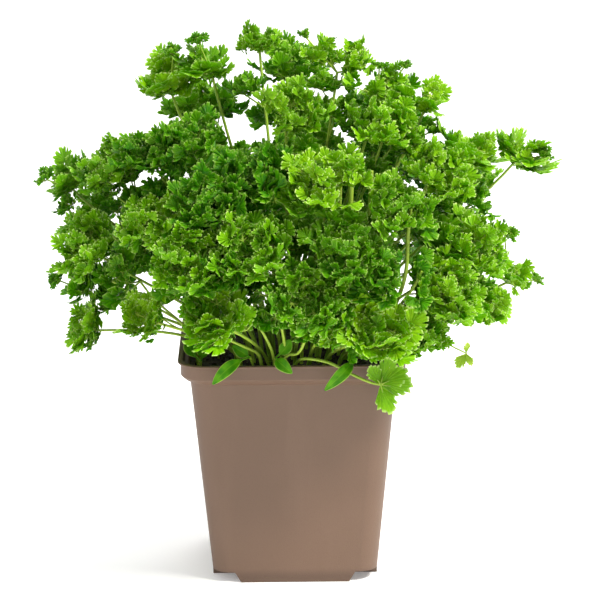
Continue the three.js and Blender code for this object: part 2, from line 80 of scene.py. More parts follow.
# Stalks come out of the soil in a crown, and each ends at a fork under its head.
STALK = {"foot": 1.05, "tip": 0.75, "bends": 5, "steps": 14, "roundness": 2}
CROWN = {"radius": 47, "spread": 0.75, "apart": 8.5, "nudge": 0.01, "rounds": 60}
# A stalk's arc, as shares of its travel: how far it rises and leans at first, and its reach to the fork.
ARC = {"rise": 0.42, "least_rise": 17, "lean": 0.12, "reach": 0.3, "high_sway": 0.5}
# How stalks keep clear of each other. "marks" are the points on each bend where the room is measured.
ROUTE = {"apart": 4.4, "sway_step": 3, "tries": 25, "marks": 8, "plenty": 50}
# Between these distances from the pot's middle, stalks keep above this level.
RIM = {"inside": 56, "outside": 72, "clear_level": OUTSIDE[-1][1] + 3.2}
HEART = {"z": 140, "lift": 0.45}  # the point that the heads face away from, and how far they turn up

# A head's leaflets grow in pinnae, in two tiers round the fork: how steeply they rise, how far out they
# begin and how long they are, as shares of the head's radius.
OUTER = {"rise": 26, "neck": 0.36, "length": 0.74, "count": 4, "count_if_small": 4}
INNER = {"rise": 64, "neck": 0.46, "length": 0.6, "count": 2, "count_if_small": 1}
SMALL_HEAD = 24  # heads up to this radius have fewer pinnae
# A fork is below its head's middle. Pinnae stray from even sectors, counted from the north, and they roll.
ROSETTE = {
    "fork": 0.5, "stray": 0.25, "roll": 12, "rises": (0.85, 1.15), "lengths": (0.92, 1.08),
    "north": (0.31, 0.95, 0),
}

HEADS = [
    # the top of the bush
    (-71, -4, 289, 23), (-46, -14, 300, 22), (-18, 2, 309, 18), (28, 16, 297, 25), (-3, -54, 280, 27),
    (52, -4, 284, 23), (79, -6, 276, 20), (54, -42, 268, 25), (-56, -46, 265, 24), (-22, -76, 251, 25),
    # the right side
    (133, 0, 243, 21), (102, -16, 249, 22), (83, -55, 247, 26), (105, -48, 202, 27), (131, -12, 173, 19),
    (114, -40, 164, 20), (88, -84, 184, 25),
    # the front
    (58, -88, 233, 25), (22, -96, 250, 27), (-48, -84, 236, 25), (-22, -110, 216, 25), (30, -106, 214, 25),
    (60, -102, 200, 23), (8, -114, 189, 24), (-58, -102, 208, 26), (-44, -104, 177, 24), (50, -104, 165, 24),
    (20, -104, 171, 21),
    # the left side
    (-131, 0, 229, 20), (-104, -21, 243, 25), (-82, -42, 257, 22), (-80, -66, 222, 24), (-117, -32, 199, 26),
    (-127, -4, 168, 20), (-122, -20, 147, 18), (-84, -68, 166, 18),
    # the back
    (0, 52, 286, 28), (-54, 46, 266, 27), (58, 50, 262, 28), (-122, 22, 206, 24), (102, 40, 220, 27),
    (-58, 88, 230, 28), (2, 98, 242, 29), (62, 90, 226, 28), (-30, 112, 190, 28), (36, 112, 188, 28),
    (-90, 74, 180, 28), (94, 70, 178, 28),
    # low in front on the right
    (73, -86, 160, 19),
]
# Young heads are a paler, yellower green, from 0 to 1, and the palest shoot is above 1.
YOUNG = {
    4: 0.3, 5: 0.6, 7: 0.3, 11: 0.4, 12: 0.3, 13: 0.4, 15: 0.7, 16: 0.4, 17: 0.4, 19: 0.6, 27: 0.5, 36: 0.6,
}
# How much lighter or darker than the others some heads are, from the darkest green at 0 to the lightest at 1.
LIGHT = [
    (0.9, (36,)), (0.7, (1, 4, 7, 15, 16, 27)), (0.5, (6, 8, 11, 12, 13, 14, 17, 19, 26, 28, 40, 41, 49)),
    (0.35, (3, 33, 35)), (0.25, (5, 25, 30, 32)), (0.15, (18,)), (-0.2, (23,)), (-0.4, (9, 20, 31)),
    (-0.6, (10,)),
]
# A head's tone before that, and how far its leaflets and their frills can be lighter or darker. The last two
# are the tone of low stalks and how young the bare stalks in the gaps are.
TONES = {"head": (0.25, 0.55), "leaflet": 0.2, "frill": 0.08, "low_stalk": 0.5, "bare_young": 0.6}
# Heads with broader and flatter leaflets.
BROAD = (1, 2, 7, 11, 12, 15, 16, 26, 27, 29, 34, 35, 36)

# The leaflets of a pinna: the angle from its middle, where it begins and its length as shares of the pinna's
# length, and how far it is lifted off the pinna's plane, in degrees.
PINNAE = {
    "curly": [
        (0, 0.5, 0.6, 4), (-46, 0.36, 0.58, 10), (48, 0.36, 0.58, 8), (-96, 0.16, 0.52, 10),
        (94, 0.16, 0.52, 12), (-24, 0.22, 0.5, 48), (30, 0.26, 0.5, 54), (150, 0.1, 0.4, 30),
    ],
    "broad": [
        (0, 0.36, 0.8, 4), (-56, 0.2, 0.72, 8), (56, 0.2, 0.72, 6), (-112, 0.1, 0.55, 10),
        (110, 0.1, 0.55, 10), (10, 0.14, 0.5, 50),
    ],
    "inner": [
        (0, 0.4, 0.7, 8), (-56, 0.2, 0.64, 14), (58, 0.2, 0.64, 12), (-118, 0.1, 0.5, 12),
        (-10, 0.1, 0.55, 56),
    ],
}

# A leaflet is a cluster of frills: the angle of each from the leaflet's middle, where it begins and its
# length as shares of the leaflet's length, and how far it is lifted, in degrees.
CLUSTERS = {
    "curly": [(0, 0.3, 0.8, 4), (-68, 0.12, 0.72, 14), (68, 0.12, 0.72, 14)],
    "broad": [(0, 0.26, 0.8, 0), (-64, 0.1, 0.74, 6), (64, 0.1, 0.74, 6)],
    "inner": [(-30, 0.1, 0.9, 4), (36, 0.1, 0.84, 10)],
    "leaf": [(0, 0, 1, 0)],
}

# A frill is a thin fan, pleated from its heart to its blunt teeth and cut in lobes. "narrowing" is how much
# shorter it is at its sides, "uneven" how far its teeth differ, and "cups" are limits beside its kind's cup.
# Its middle, so far along it, is what has to be clear of the gaps.
FRILL = {
    "heart": 0.16, "thickness": 0.05, "narrowing": 0.12, "uneven": 0.08, "waves": 3.1, "cups": (0.2, 1.6),
    "smooth": 50, "middle": 0.6,
}
# Each kind of frill is made in a few forms. "opening" is how far round it goes, in degrees each way, and
# "pleat", "wave" and "cup" are heights. "teeth" are the lengths of its teeth, "cuts" are how deep it is cut
# beside each of them, and "blunt" is half a tip's width beside the tooth's. "stray" is how far its copies
# turn at random, in degrees.
FRILLS = {
    "curly": {
        "forms": 8, "opening": 98, "pleat": 0.05, "wave": 0.2, "cup": 0.14, "stray": 32, "blunt": 0.28,
        "teeth": (0.82, 0.98, 0.88, 0.9, 1.06, 0.9, 0.88, 0.98, 0.82),
        "cuts": (0.3, 0.2, 0.22, 0.5, 0.2, 0.2, 0.5, 0.22, 0.2, 0.3),
    },
    "broad": {
        "forms": 4, "opening": 94, "pleat": 0.014, "wave": 0.12, "cup": 0.08, "stray": 18, "blunt": 0.28,
        "teeth": (0.86, 0.98, 0.96, 1.06, 1.04, 0.96, 0.98, 0.86),
        "cuts": (0.3, 0.17, 0.24, 0.36, 0.17, 0.36, 0.2, 0.17, 0.3),
    },
    "inner": {
        "forms": 3, "opening": 88, "pleat": 0.05, "wave": 0.14, "cup": 0.1, "stray": 30, "blunt": 0.28,
        "teeth": (0.85, 1, 1, 0.85), "cuts": (0.3, 0.2, 0.5, 0.2, 0.3),
    },
    "leaf": {
        "forms": 3, "opening": 46, "pleat": 0.01, "wave": 0.1, "cup": 0.08, "stray": 6, "blunt": 0.36,
        "teeth": (0.72, 0.86, 0.97, 1.03, 0.98, 0.85, 0.7),
        "cuts": (0.22, 0.12, 0.16, 0.09, 0.09, 0.16, 0.12, 0.22),
    },
}

# What grows from a stem strays at random: in its turn, in its lift as a share of how far it rolls, and in its
# length. It begins lower further out, by the droop. "leaflets" is how far leaflets roll, in degrees.
STRAY = {"turn": 9, "lift": 0.6, "droop": 0.2, "length": 0.12, "leaflets": 25}
# Ribs run from the fork to the pinnae, and stalklets on from there: how thick each is from end to end beside
# the stalk's tip, how far a rib sags, how far a stalklet runs along its leaflet, and how thick both are on
# branches beside those.
RIBS = {"rib": (0.85, 0.7, 0.55), "stalklet": (0.5, 0.4, 0.3), "sag": 0.6, "reach": 0.14, "on_branch": 0.7}

# Smaller heads branch off a stalk where it is between a low and a high level and not too wide from the pot's
# middle: how far up the stalk, and their size and how far out they are beside its own head. They turn at
# random and lean the stalk's way, and face out and up. "thick" is a branch from end to end.
BRANCHES = {
    "shares": (0.4, 0.58, 0.76, 0.9), "size": 0.74, "sizes": (0.85, 1.1), "reach": 0.62, "low": 148,
    "high": 246, "wide": 112, "turn": 40, "ahead": 0.7, "outward": 0.6, "upward": 0.3,
    "thick": (0.8, 0.7, 0.6), "tones": (0.0, 0.2), "young": 0.4,
}

# The foliage leaves gaps, where soil and stalks show or that go right through it. Each goes from left to
# right, from a low to a high level and back to a depth, and frills keep clear of it by a share of their
# length. The levels are heights at the middle of the pot, and rise towards the front by the slope.
GAPS = [
    # low in front
    (-33, 2, 0, 140, -40, 0), (2, 33, 0, 129, -40, 0), (33, 75, 0, 121, -40, 0),
    # low on the left and on the right
    (-76, -58, 0, 159, 40, 0), (-92, -77, 160, 173, 40, 0), (70, 90, 0, 127, 60, 0),
    (88, 106, 0, 141, 60, 0), (107, 125, 0, 142, 60, 0),
    # in the middle
    (26, 43, 210, 220, 60, 0.35), (60, 67, 156, 192, 30, 0.5), (-104, -97, 192, 207, 60, 0.1),
    # among the top heads
    (-37, -14, 290, 300, 60, 0.2), (9, 33, 291, 297, 60, 0.1), (-37, -10, 250, 262, 150, 0.5),
    (38, 47, 279, 288, 60, 0.1), (68, 76, 273, 285, 60, 0.1), (83, 96, 262, 271, 60, 0.1),
    # along the outline
    (-41, -29, 296, 320, 60, 0), (-6, 4, 306, 320, 60, 0), (10, 20, 308, 325, 60, 0),
    (44, 55, 293, 310, 60, 0), (-92, -79, 288, 302, 60, 0), (-106, -86, 277, 292, 60, 0),
    (112, 122, 203, 222, 60, 0), (125, 139, 173, 188, 60, 0), (127, 150, 148, 163, 60, 0),
    (-155, -135, 205, 220, 60, 0), (-145, -126, 140, 162, 60, 0),
]
GAP_SLOPE = 0.268
# Steps on each leg of the lines through given points: of thin bright stalks, and of the stalks that lie low.
LEG_STEPS = {"bare": 5, "low": 4}
# Thin bright stalks that show in those gaps: the frond that each is part of, its radius at the foot and at
# the tip, its tone and its points.
BARE_STALKS = [
    (26, 0.9, 0.7, 0.6, [
        (-17, -50, 121), (-19, -54, 137), (-27, -60, 144), (-37, -66, 151), (-42, -72, 160),
    ]),
    (24, 0.9, 0.7, 0.7, [
        (-10, -50, 121), (-11, -55, 137), (-15, -60, 149), (-20, -66, 160), (-24, -74, 172),
    ]),
    (28, 0.95, 0.7, 1, [(-9, -51, 121), (-4, -57, 137), (3, -61, 140.5), (7, -66, 150), (9, -74, 160)]),
    (21, 0.95, 0.7, 1, [(-4, -50, 121), (-4.5, -56, 142), (-6.5, -63, 158), (-8, -72, 172)]),
    (33, 0.8, 0.65, 0.8, [
        (-54, -24, 121), (-57, -24, 139), (-63, -24, 148), (-78, -24, 158), (-93, -25, 167), (-102, -26, 174),
    ]),
    (31, 0.8, 0.65, 0.6, [
        (-53, -16, 121), (-56, -16, 136), (-62, -17, 145), (-78, -18, 160), (-88, -20, 174),
    ]),
    (19, 1.1, 1, 0.8, [(24, -70, 208), (26.2, -74, 225), (27, -77, 246)]),
    (4, 1.5, 1.4, 0.8, [(31, -70, 208), (32.4, -74, 228), (33, -77, 248)]),
    (8, 1.1, 1, 0.6, [(42, -70, 210), (43, -74, 230), (44, -77, 248)]),
    (14, 1.2, 1, 0.5, [(57, -72, 171), (61, -77, 184), (63, -80, 196), (63.5, -82, 212), (65, -84, 228)]),
    (17, 0.9, 0.8, 1, [(54, -72, 163), (59.8, -78, 172.8), (66.9, -82, 184), (71, -84, 193)]),
]
# Small heads on side stalks that fill holes near the outline: the frond, the middle and the radius of each.
FILLS = [
    (3, (-26, -12, 278), 15), (4, (18, 3, 277), 14), (30, (-89, -12, 229), 11), (7, (79, -10, 255), 8),
    (2, (-51, -14, 308), 7), (1, (-66, -4, 300), 7), (29, (-139, -4, 228), 8), (33, (-126, -14, 213), 10),
    (32, (-100, -20, 223), 8), (35, (-112, -20, 137), 9), (33, (-104, -20, 156), 8), (34, (-133, -6, 169), 7),
    (11, (142, -3, 239), 8), (15, (121, -10, 195), 8), (15, (138, -10, 168), 6), (4, (9, 10, 306), 6),
    (6, (50, -4, 291), 6), (6, (64, -4, 291), 5),
]

# Low shoots that lie over the rim: how far a stalk tapers, how far a rib runs into its lobe, and how thick it
# is at both ends beside the stalk.
SHOOT = {"taper": 0.8, "reach": 0.3, "rib": (0.6, 0.2)}
# The points of each stalk from the soil out, and the leaf at its end. Each lobe of the leaf has its angle
# from straight up, its length and how far it is lifted, in degrees.
SHOOTS = {
    "hanging_leaf": {
        "route": [
            (0, -49, 123), (2, -55, 133), (7, -62, 137.5), (20, -67, 136.5), (33, -71, 130.6),
            (43, -74, 126.9), (48.5, -76, 126.2),
        ],
        "thick": 0.95, "normal": (0.15, -1, 0.1), "young": 0.3, "tones": (0.45, 0.75),
        "lobes": [(-32, 12, 10), (18, 16, -4), (68, 18, 6), (104, 20, -8), (166, 16, 4)],
    },
    "trailing_shoot": {
        "route": [
            (53, -14, 123), (56, -15, 132), (64, -16.5, 137.5), (82, -20, 136), (93, -21, 131),
            (99, -21, 128),
        ],
        "thick": 0.55, "normal": (0.3, -0.9, 0.3), "young": 1.6, "tones": (1.0, 1.3),
        "lobes": [(4, 8, 30), (160, 8, 20), (212, 11, -10)],
    },
}

# A seedling is a thin stalk, from its foot to its fork, with narrow, smooth-edged seed leaves, each given by
# its middle and its tip.
SEEDLINGS = [
    ((-20, -53), (-24, -58, 137.5), [
        ((-32, -66.8, 137.5), (-45, -71, 125.5)), ((-26, -56, 138), (-34, -53, 143)),
    ]),
    ((-6, -54), (-10, -59.5, 137.5), [
        ((-9, -66.5, 138), (-0.5, -69, 131)), ((-6, -58, 140), (-1, -56, 147)),
    ]),
    ((33, -53), (34, -59, 137.5), [((32.4, -74, 137), (17.3, -75, 122.6)), ((38, -57, 139), (48, -56, 143))]),
    ((-53, -40), (-52, -43.5, 131), [((-51, -45, 135), (-50, -46, 145)), ((-57, -38, 134), (-60, -27, 139))]),
]
SEEDLING = {"stalk": 0.75, "young": 0.4}
# A seed leaf is a thin stem and then a lance. "columns" are places across it, from edge to edge.
SEED_LEAF = {
    "half_width": 3.3, "stem_width": 0.14, "stem": 0.3, "widest": 1.1, "fullness": 0.7, "leaves_fork": 0.8,
    "past_middle": 0.3, "faces": (0, -1, 0.45), "thickness": 0.5, "fold": 0.2, "rows": 14,
    "columns": (-1, -0.5, 0, 0.5, 1),
}


def draws(seed):
    """A repeatable stream of numbers, from 0 to 1 unless it is asked for others."""
    state = seed * 7919 + 11

    def draw(low=0.0, high=1.0):
        nonlocal state
        state = state * 48271 % 2147483647
        return low + (high - low) * state / 2147483647

    return draw


def metres(point):
    return Vector(point) * MM


def unit(vector):
    return vector / np.linalg.norm(vector)


# Modelling helpers

def select_only(*objects):
    """Selects these objects and nothing else, with the first of them active."""
    bpy.ops.object.select_all(action="DESELECT")
    for each in objects:
        each.select_set(True)
    bpy.context.view_layer.objects.active = objects[0]


def start(name):
    """The primitive just added, alone in the selection and named."""
    made = bpy.context.object
    select_only(made)
    made.name = name
    made.data.name = name
    return made


def edit():
    bpy.ops.object.mode_set(mode="EDIT")
    bpy.ops.mesh.select_all(action="SELECT")


def end_edit():
    bpy.ops.object.mode_set(mode="OBJECT")


def pick(test, kind="VERT"):
    """In edit mode, selects the corners, edges or faces whose middle passes the test, and nothing else."""
    bpy.ops.mesh.select_mode(type=kind)
    bpy.ops.mesh.select_all(action="DESELECT")
    shape = bmesh.from_edit_mesh(bpy.context.object.data)
    for each in {"VERT": shape.verts, "EDGE": shape.edges, "FACE": shape.faces}[kind]:
        middle = each.co if kind == "VERT" else sum((v.co for v in each.verts), Vector()) / len(each.verts)
        if not each.hide and test(middle / MM, each):
            each.select_set(True)
    shape.select_flush_mode()
    bmesh.update_edit_mesh(bpy.context.object.data)


def turn_faces_out():
    bpy.ops.mesh.select_all(action="SELECT")
    bpy.ops.mesh.normals_make_consistent(inside=False)


def extrude(height=0.0):
    """Extrudes what is selected upwards."""
    bpy.ops.mesh.extrude_region_move(TRANSFORM_OT_translate={"value": (0, 0, height * MM)})


def scale(across, along, up=1.0, level=0.0):
    """Scales what is selected round the pot's axis and a level."""
    bpy.ops.transform.resize(value=(across, along, up), center_override=(0, 0, level * MM))


def put(here, there):
    """Moves what is selected, and hides it from the picks that follow."""
    bpy.ops.transform.translate(value=metres(there - here))
    bpy.ops.mesh.hide()


def add_square(half, level, corner, corner_steps, name):
    """A flat square with round corners, left in edit mode with all of it selected."""
    bpy.ops.mesh.primitive_plane_add(size=2 * half * MM, location=metres((0, 0, level)))
    square = start(name)
    bpy.ops.object.transform_apply(location=True)
    edit()
    bpy.ops.mesh.bevel(offset=corner * MM, segments=corner_steps, affect="VERTICES")
    bpy.ops.mesh.select_all(action="SELECT")
    return square


def finish_modifier(piece, kind, **settings):
    """Adds a modifier, sets it and applies it."""
    select_only(piece)
    modifier = piece.modifiers.new(kind.title(), kind)
    for key, value in settings.items():
        setattr(modifier, key, value)
    bpy.ops.object.modifier_apply(modifier=modifier.name)


def join(parts, name):
    """Joins modelled parts in one piece at the origin."""
    select_only(*parts)
    if len(parts) > 1:
        bpy.ops.object.join()
    whole = bpy.context.object
    bpy.ops.object.transform_apply(location=True, rotation=True, scale=True)
    whole.name = name
    whole.data.name = name
    return whole


def copy_at(pattern, place):
    """A copy of a pattern with a mesh of its own, at its place."""
    twin = pattern.copy()
    twin.data = pattern.data.copy()
    twin.matrix_world = place
    bpy.context.collection.objects.link(twin)
    return twin


def mark(mesh, name, values):
    """Gives each corner of a mesh a number that a material can read."""
    layer = mesh.attributes.get(name) or mesh.attributes.new(name, "FLOAT", "POINT")
    layer.data.foreach_set("value", values)


# Materials

class Level:
    """A socket of a material, so that shader maths reads as plain expressions."""

    def __init__(self, paint, socket):
        self.paint = paint
        self.socket = socket

    def __add__(self, other):
        return self.paint.maths("ADD", self, other)

    def __sub__(self, other):
        return self.paint.maths("SUBTRACT", self, other)

    def __rsub__(self, other):
        return self.paint.maths("SUBTRACT", other, self)

    def __mul__(self, other):
        return self.paint.maths("MULTIPLY", self, other)

    __radd__ = __add__
    __rmul__ = __mul__

    def between(self, low, high):
        """0 below low, 1 above high and smooth between them."""
        settings = {"interpolation_type": "SMOOTHSTEP"}
        return self.paint.node("ShaderNodeMapRange", settings, {0: self, 1: low, 2: high})


class Paint:
    """The nodes of one material."""

    def __init__(self, name):
        self.material = bpy.data.materials.new(name)
        self.material.use_nodes = True
        self.tree = self.material.node_tree
        self.tree.nodes.clear()

    def node(self, kind, settings=None, sockets=None, out=0):
        made = self.tree.nodes.new(kind)
        for key, value in (settings or {}).items():
            setattr(made, key, value)
        for key, value in (sockets or {}).items():
            if isinstance(value, Level):
                self.tree.links.new(value.socket, made.inputs[key])
            else:
                made.inputs[key].default_value = value
        return Level(self, made.outputs[out])

    def maths(self, operation, *values):
        return self.node("ShaderNodeMath", {"operation": operation}, dict(enumerate(values)))

    def mix(self, share, first, second):
        return self.node("ShaderNodeMix", {"data_type": "RGBA"}, {0: share, 6: first, 7: second}, 2)

    def coats(self, colour, *coats):
        """A colour with others laid over it, each by its share."""
        for share, over in coats:
            colour = self.mix(share, colour, tint(*over))
        return colour

    def place(self):
        return self.node("ShaderNodeTexCoord", out=3)

    def noise(self, per_metre, detail=3.0, stretch=(1, 1, 1)):
        place = self.node("ShaderNodeMapping", {}, {0: self.place(), 3: stretch})
        return self.node("ShaderNodeTexNoise", {}, {0: place, 2: per_metre, 3: detail})

    def attribute(self, name):
        return self.node("ShaderNodeAttribute", {"attribute_name": name}, out=2)

    def bump(self, height, strength, distance):
        sockets = {"Strength": strength, "Distance": distance, "Height": height}
        return self.node("ShaderNodeBump", {}, sockets)

    def surface(self, colour, rough, normal=None, shine=0.5, glow=None, glow_share=0.0, lit=0.0):
        """The finished surface. A glow is the light that a thin leaf lets through, in its own colour, and a
        lit surface gives off a white light of its own."""
        sockets = {"Base Color": colour, "Roughness": rough, "Specular IOR Level": shine}
        sockets["Emission Strength"] = lit
        if normal:
            sockets["Normal"] = normal
        shader = self.node("ShaderNodeBsdfPrincipled", {}, sockets)
        if glow:
            through = self.node("ShaderNodeBsdfTranslucent", {}, {0: glow})
            shader = self.node("ShaderNodeMixShader", {}, {0: glow_share, 1: shader, 2: through})
        output = self.tree.nodes.new("ShaderNodeOutputMaterial")
        self.tree.links.new(shader.socket, output.inputs[0])
        return self.material


def tint(red, green, blue):
    """A colour given as it shows on screen, from 0 to 255."""
    linear = [((c / 255 + 0.055) / 1.055) ** 2.4 if c > 10 else c / 255 / 12.92 for c in (red, green, blue)]
    return (*linear, 1)


def pot_plastic():
    """Satin brown plastic, with faint clouds and streaks from the mould, and painted shade on its recessed
    foot, darker towards the floor.
    """
    paint = Paint("taupe_pot_plastic")
    cloud = paint.noise(14, 2)
    streak = paint.noise(60, 3, (1, 1, 0.12))
    grain = paint.noise(1500, 2)
    height = paint.node("ShaderNodeSeparateXYZ", {}, {0: paint.place()}, 2)
    colour = paint.coats(
        tint(99, 75, 58),
        (cloud.between(0.3, 0.7), (106, 81, 64)),
        (streak.between(0.5, 0.75) * 0.25, (113, 88, 71)),
        (grain.between(0.45, 0.7) * 0.18, (89, 66, 51)),
        # painted shade: the foot sits recessed under the body, so the pot is painted darker below 9 mm, most
        # below 3 mm
        (0.6 - 0.6 * height.between(0.003, 0.009), (74, 54, 41)),
    )
    rough = 0.44 + 0.1 * cloud + 0.06 * grain
    return paint.surface(colour, rough, paint.bump(grain, 0.25, 0.0003))


def compost():
    """Dark, crumbly soil with pale flecks and fibres."""
    paint = Paint("damp_compost")
    clod = paint.noise(180, 5)
    fleck = paint.noise(900, 3)
    fibre = paint.noise(420, 2, (1, 0.2, 1))
    colour = paint.coats(
        tint(24, 19, 15),
        (clod.between(0.35, 0.65), (58, 45, 34)),
        (fleck.between(0.6, 0.72) * 0.7, (96, 76, 56)),
        (fibre.between(0.64, 0.7) * 0.6, (120, 92, 62)),
    )
    rough = 0.95 - 0.25 * fleck
    return paint.surface(colour, rough, paint.bump(clod + 0.4 * fleck, 0.9, 0.0015))


def leaf_green():
    """Parsley leaf: painted shade at the hearts of its frills and in the valleys between their teeth, painted
    light towards their outer part, and teeth pale and yellow, partly their own colour and partly a painted
    highlight.
    """
    paint = Paint("parsley_leaf")
    tone = paint.attribute("tone")
    young = paint.attribute("young")
    blotch = paint.noise(260, 3)
    fine = paint.noise(1400, 3)
    flat = paint.node("ShaderNodeUVMap", {"uv_map": "leaf"})
    tooth = paint.node("ShaderNodeSeparateXYZ", {}, {0: flat}, 0)
    reach = paint.node("ShaderNodeSeparateXYZ", {}, {0: flat}, 1)
    fold = paint.maths("PINGPONG", tooth, 0.5)
    vein = (1 - fold.between(0.02, 0.12)) * reach.between(0.1, 0.4)
    colour = paint.coats(
        tint(48, 124, 0),
        (tone, (156, 214, 8)),
        (young * 0.6, (176, 220, 24)),
        (blotch.between(0.3, 0.7) * 0.35, (70, 146, 4)),
        (fine.between(0.42, 0.6) * 0.2, (50, 112, 1)),
        # painted shade in the valleys between the teeth, where the pleats fold down
        (fold.between(0.25, 0.48) * 0.2, (30, 84, 1)),
        # painted shade: darker towards the heart of each frill, where the leaflet's base lies in shadow
        (0.35 - 0.35 * reach.between(0.0, 0.5), (30, 88, 1)),
        (vein * 0.25, (160, 212, 40)),
        # painted light: lighter towards the outer part of each frill, where the pleats catch the light
        (reach.between(0.6, 0.9) * 0.3, (150, 208, 16)),
        # pale tooth rims: partly the teeth's own pale tips, partly a painted highlight, stronger on lighter
        # leaflets
        (reach.between(0.86, 0.98) * (0.4 + 0.55 * tone), (226, 247, 146)),
        ((young - 1) * 1.2, (224, 246, 96)),
    )
    rough = 0.32 + 0.12 * fine
    normal = paint.bump(vein * 0.6 + 0.7 * fine + 0.6 * blotch, 0.9, 0.0005)
    return paint.surface(colour, rough, normal, 0.24, tint(146, 220, 4), 0.34)


def stalk_green():
    """Pale green stalk with fine lengthwise streaks, yellower where it is young."""
    paint = Paint("parsley_stalk")
    streak = paint.noise(900, 2, (1, 1, 0.06))
    patch = paint.noise(40, 2)
    colour = paint.coats(
        tint(96, 134, 20),
        (paint.attribute("tone"), (166, 200, 60)),
        (patch.between(0.35, 0.7) * 0.4, (140, 178, 50)),
        (streak.between(0.4, 0.7) * 0.35, (190, 214, 104)),
        (paint.attribute("young") * 0.4, (196, 216, 84)),
    )
    rough = 0.42 + 0.15 * patch
    return paint.surface(colour, rough, paint.bump(streak, 0.4, 0.0003), 0.35, tint(150, 190, 60), 0.12)


def seed_leaf_green():
    """Smooth seed leaf, paler along its midrib and its edge."""
    paint = Paint("seed_leaf")
    edge = paint.attribute("edge")
    blotch = paint.noise(200, 3)
    fine = paint.noise(1500, 2)
    colour = paint.coats(
        tint(56, 128, 2),
        (blotch.between(0.3, 0.7), (100, 172, 8)),
        ((1 - edge.between(0.02, 0.1)) * 0.35, (150, 200, 50)),
        (edge.between(0.88, 0.99) * 0.6, (186, 214, 90)),
    )
    rough = 0.4 + 0.12 * fine
    return paint.surface(colour, rough, paint.bump(fine, 0.4, 0.0003), 0.25, tint(112, 190, 10), 0.2)


def pale_floor():
    """Almost white, and a little lit, so that it fades into the sky."""
    paint = Paint("pale_floor")
    colour = paint.coats(tint(246, 246, 246), (paint.noise(3, 2), (250, 250, 250)))
    return paint.surface(colour, 0.7, lit=0.2)


# The pot

def grow_ring(half, height, before):
    """Extrudes the selected face to the next step of the outline: its half width and its height."""
    extrude(height - before[1])
    share = half / before[0]
    scale(share, share, level=height)
    return half, height


def cut_square(offset):
    """Cuts the underside of the base along the four sides of a square round the middle."""
    for axis in (Vector((1, 0, 0)), Vector((0, 1, 0))):
        for side in (-1, 1):
            bpy.ops.mesh.bisect(plane_co=axis * side * offset * MM, plane_no=axis)
            pick(lambda at, face: at.z < BASE + NEAR, "FACE")


def make_foot():
    """Two crossed bars under the base: the base's underside, drawn down but for its corners."""
    wide = FOOT["half_width_at_base"]
    share = FOOT["half_width"] / wide
    pick(lambda at, face: at.z < BASE + NEAR, "FACE")
    cut_square(wide)
    pick(lambda at, face: at.z < BASE + NEAR and min(abs(at.x), abs(at.y)) < wide, "FACE")
    extrude(-BASE)
    pick(lambda at, corner: at.z < NEAR and abs(at.x) < wide + NEAR)
    scale(share, 1)
    pick(lambda at, corner: at.z < NEAR and abs(at.y) < wide + NEAR)
    scale(1, share)


def cut_drains(pot):
    """A drain hole through each raised corner of the base."""
    for x, y in ((1, 1), (-1, 1), (-1, -1), (1, -1)):
        bpy.ops.mesh.primitive_cylinder_add(
            vertices=DRAIN["sides"], radius=DRAIN["radius"] * MM, depth=DRAIN["depth"] * MM,
            location=metres((x * DRAIN["offset"], y * DRAIN["offset"], BASE)),
        )
        drill = start("drill")
        finish_modifier(pot, "BOOLEAN", operation="DIFFERENCE", object=drill, solver="EXACT")
        bpy.data.objects.remove(drill)


def make_pot():
    """A base, drawn up along the outside and down along the inside, with its foot and drain holes."""
    step = OUTSIDE[0]
    pot = add_square(*step, POT["corner"], POT["corner_steps"], "moulded_pot")
    for half, height in OUTSIDE[1:] + INSIDE:
        step = grow_ring(half, height, step)
    turn_faces_out()
    pick(lambda at, edge: at.z < BASE + NEAR and len(edge.link_faces) == 1, "EDGE")
    bpy.ops.mesh.edge_face_add()
    turn_faces_out()
    make_foot()
    end_edit()
    cut_drains(pot)
    finish_modifier(
        pot, "BEVEL", width=POT["edge"] * MM, segments=POT["edge_steps"], limit_method="ANGLE",
        angle_limit=math.radians(POT["edge_angle"]),
    )
    select_only(pot)
    bpy.ops.object.shade_smooth_by_angle(angle=math.radians(POT["smooth"]))
    finish_modifier(pot, "WEIGHTED_NORMAL", keep_sharp=True)
    pot.data.materials.append(pot_plastic())
    return pot


# The soil

def roughen(piece, size, height):
    """Raises and lowers a surface by a cloud pattern, whose lumps are of a given size."""
    pattern = bpy.data.textures.new("lumps", "CLOUDS")
    pattern.noise_scale = size * MM
    pattern.noise_depth = 2
    finish_modifier(
        piece, "DISPLACE", texture=pattern, texture_coords="LOCAL", direction="Z", strength=height * MM,
    )


def make_soil_top():
    """A round-cornered square of soil, a net of rings that is roughened."""
    half, level, rings = SOIL["half"], SOIL["level"], SOIL["rings"]
    soil = add_square(half, level, SOIL["corner"], SOIL["corner_steps"], "crumbly_soil")
    pick(lambda at, edge: edge.calc_length() > 2 * SOIL["corner"] * MM, "EDGE")
    bpy.ops.mesh.subdivide(number_cuts=SOIL["side_cuts"])
    bpy.ops.mesh.select_all(action="SELECT")
    step = (half, level)
    for ring in range(1, rings):
        step = grow_ring(half * (1 - ring / rings), level, step)
    bpy.ops.mesh.poke()
    turn_faces_out()
    bpy.ops.mesh.subdivide(number_cuts=SOIL["cuts"])
    end_edit()
    for size, height in SOIL_LUMPS:
        roughen(soil, size, height)
    return soil


def close_soil():
    """Draws the rim of the soil's top down to the pot's floor, so that it is a solid."""
    edit()
    pick(lambda at, edge: len(edge.link_faces) == 1, "EDGE")
    before = SOIL["half"]
    for half, height in SOIL_SIDE:
        extrude()
        scale(half / before, half / before, 0, height)
        before = half
    bpy.ops.mesh.edge_face_add()
    turn_faces_out()
    end_edit()


